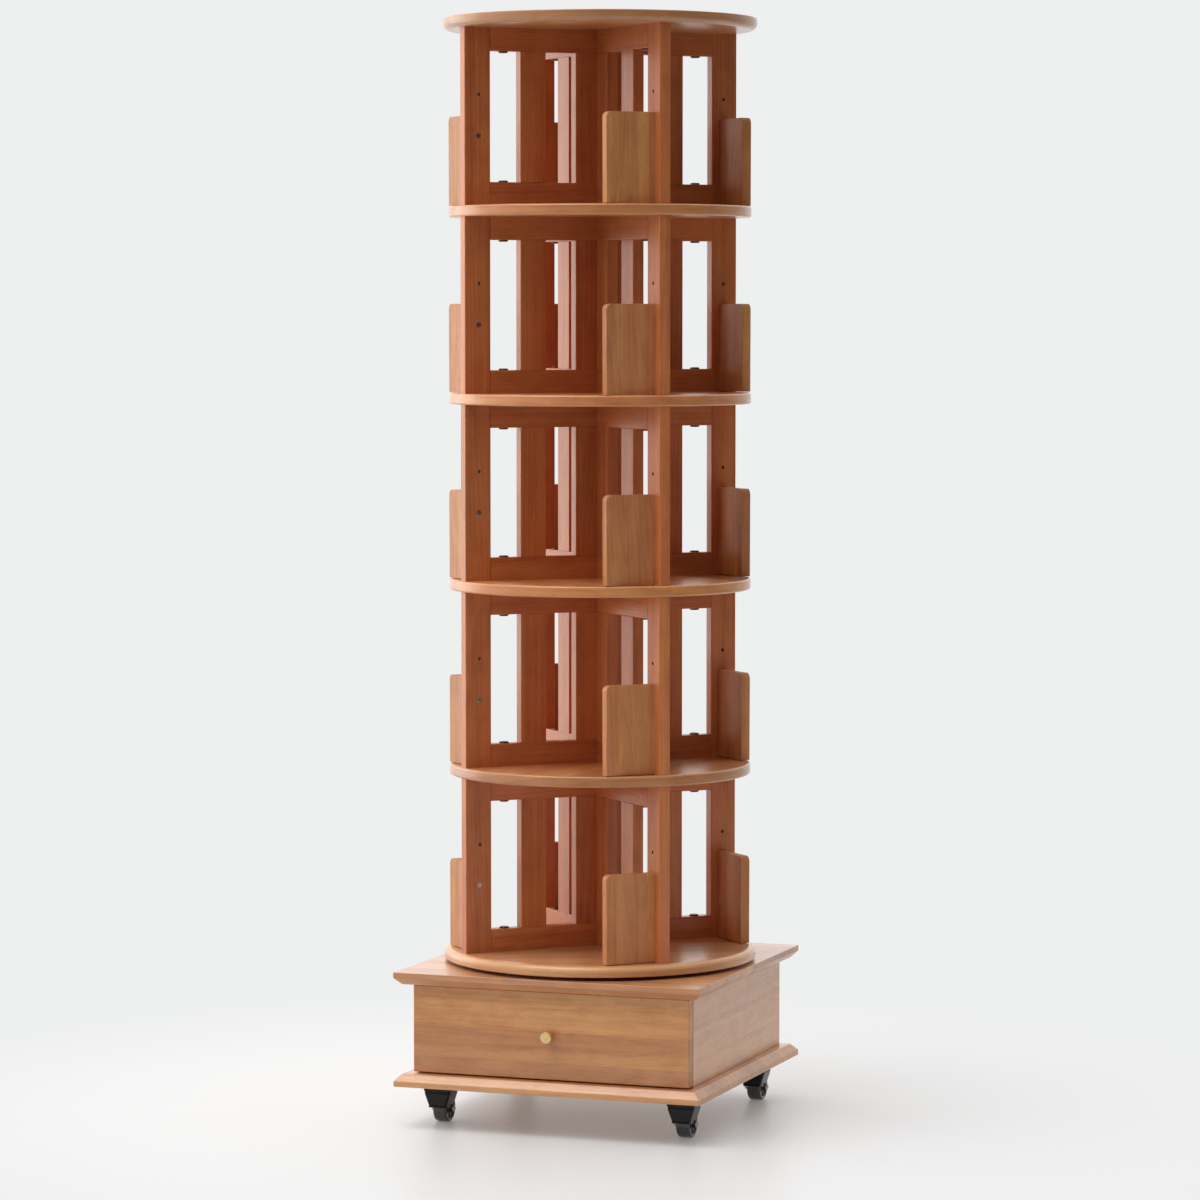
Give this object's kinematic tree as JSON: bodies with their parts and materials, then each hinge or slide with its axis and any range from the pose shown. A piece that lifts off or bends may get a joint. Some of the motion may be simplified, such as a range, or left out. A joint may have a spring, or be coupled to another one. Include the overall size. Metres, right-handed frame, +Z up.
{
  "type": "revolving bookcase",
  "caption": "Round revolving wooden book tower of open tiers with crossed window panels and book stops, turning on a square drawer base with swivel casters.",
  "frame": {"origin": "on the floor under the tower's axis, the middle of the square base", "axes": "+Z up along the tower's axis, -Y the way the drawer opens, +X to the right seen from the drawer"},
  "size_m": [0.465, 0.465, 1.599],
  "materials": {
    "shelf_wood": "satin lacquer",
    "panel_wood": "satin lacquer",
    "stop_wood": "satin lacquer",
    "base_wood": "satin lacquer",
    "drawer_front_wood": "satin lacquer, grain running across",
    "drawer_box_wood": "plain sanded",
    "dowel_wood": "plain",
    "brass": "satin brass",
    "zinc_steel": "zinc plated",
    "ring_aluminium": "satin",
    "black_steel": "glossy black",
    "wheel_plastic": "glossy black"
  },
  "bodies": {
    "base": {"base_top_board": "base_wood", "base_bottom_board": "base_wood", "base_side_left": "base_wood", "base_side_right": "base_wood", "base_back": "base_wood", "base_screws": "zinc_steel", "base_dowels": "dowel_wood", "slide_cabinet_rails": "zinc_steel", "turntable_lower_ring": "ring_aluminium", "turntable_lower_screws": "zinc_steel", "caster_plates": "black_steel", "caster_screws": "black_steel"},
    "tower": {"bottom_disc": "shelf_wood", "shelf_1": "shelf_wood", "shelf_2": "shelf_wood", "shelf_3": "shelf_wood", "shelf_4": "shelf_wood", "top_disc": "shelf_wood", "tier_1_panel_slot_up": "panel_wood", "tier_1_panel_slot_down": "panel_wood", "tier_2_panel_slot_up": "panel_wood", "tier_2_panel_slot_down": "panel_wood", "tier_3_panel_slot_up": "panel_wood", "tier_3_panel_slot_down": "panel_wood", "tier_4_panel_slot_up": "panel_wood", "tier_4_panel_slot_down": "panel_wood", "tier_5_panel_slot_up": "panel_wood", "tier_5_panel_slot_down": "panel_wood", "tier_1_book_stops": "stop_wood", "tier_2_book_stops": "stop_wood", "tier_3_book_stops": "stop_wood", "tier_4_book_stops": "stop_wood", "tier_5_book_stops": "stop_wood", "stop_screws": "zinc_steel", "stop_dowels": "dowel_wood", "panel_bolts": "black_steel", "panel_bolt_nuts": "black_steel", "turntable_upper_ring": "ring_aluminium", "turntable_upper_screws": "zinc_steel"},
    "ball_set": {"turntable_balls": "zinc_steel"},
    "drawer": {"drawer_front": "drawer_front_wood", "drawer_side_left": "drawer_box_wood", "drawer_side_right": "drawer_box_wood", "drawer_back": "drawer_box_wood", "drawer_bottom": "drawer_box_wood", "drawer_knob": "brass", "slide_drawer_rails": "zinc_steel"},
    "slide_middle": {"slide_middle_rails": "zinc_steel"},
    "caster_front_left_swivel": {"caster_front_left_fork": "black_steel", "caster_front_left_axle": "black_steel"},
    "caster_front_left_wheel": {"caster_front_left_wheel": "wheel_plastic"},
    "caster_front_right_swivel": {"caster_front_right_fork": "black_steel", "caster_front_right_axle": "black_steel"},
    "caster_front_right_wheel": {"caster_front_right_wheel": "wheel_plastic"},
    "caster_back_left_swivel": {"caster_back_left_fork": "black_steel", "caster_back_left_axle": "black_steel"},
    "caster_back_left_wheel": {"caster_back_left_wheel": "wheel_plastic"},
    "caster_back_right_swivel": {"caster_back_right_fork": "black_steel", "caster_back_right_axle": "black_steel"},
    "caster_back_right_wheel": {"caster_back_right_wheel": "wheel_plastic"}
  },
  "joints": [
    {"name": "tower_spin", "type": "hinge", "parent": "base", "child": "tower", "pos_m": [0, 0, 0.228], "axis": [0, 0, 1], "continuous": true},
    {"name": "ball_orbit", "type": "hinge", "parent": "base", "child": "ball_set", "pos_m": [0, 0, 0.228], "axis": [0, 0, 1], "continuous": true},
    {"name": "drawer_slide", "type": "slide", "parent": "base", "child": "drawer", "axis": [0, -1, 0], "range_m": [0, 0.3]},
    {"name": "slide_middle_run", "type": "slide", "parent": "base", "child": "slide_middle", "axis": [0, -1, 0], "range_m": [0, 0.15]},
    {"name": "caster_front_left_swivel", "type": "hinge", "parent": "base", "child": "caster_front_left_swivel", "pos_m": [-0.1865, -0.1625, 0.05], "axis": [0, 0, 1], "continuous": true},
    {"name": "caster_front_left_roll", "type": "hinge", "parent": "caster_front_left_swivel", "child": "caster_front_left_wheel", "pos_m": [-0.1865, -0.1505, 0.02], "axis": [1, 0, 0], "continuous": true},
    {"name": "caster_front_right_swivel", "type": "hinge", "parent": "base", "child": "caster_front_right_swivel", "pos_m": [0.1865, -0.1625, 0.05], "axis": [0, 0, 1], "continuous": true},
    {"name": "caster_front_right_roll", "type": "hinge", "parent": "caster_front_right_swivel", "child": "caster_front_right_wheel", "pos_m": [0.1865, -0.1505, 0.02], "axis": [1, 0, 0], "continuous": true},
    {"name": "caster_back_left_swivel", "type": "hinge", "parent": "base", "child": "caster_back_left_swivel", "pos_m": [-0.1865, 0.1625, 0.05], "axis": [0, 0, 1], "continuous": true},
    {"name": "caster_back_left_roll", "type": "hinge", "parent": "caster_back_left_swivel", "child": "caster_back_left_wheel", "pos_m": [-0.1865, 0.1745, 0.02], "axis": [1, 0, 0], "continuous": true},
    {"name": "caster_back_right_swivel", "type": "hinge", "parent": "base", "child": "caster_back_right_swivel", "pos_m": [0.1865, 0.1625, 0.05], "axis": [0, 0, 1], "continuous": true},
    {"name": "caster_back_right_roll", "type": "hinge", "parent": "caster_back_right_swivel", "child": "caster_back_right_wheel", "pos_m": [0.1865, 0.1745, 0.02], "axis": [1, 0, 0], "continuous": true}
  ],
  "couplings": [
    {"joint": "ball_orbit", "follows": "tower_spin", "ratio": 0.5},
    {"joint": "slide_middle_run", "follows": "drawer_slide", "ratio": 0.5}
  ]
}
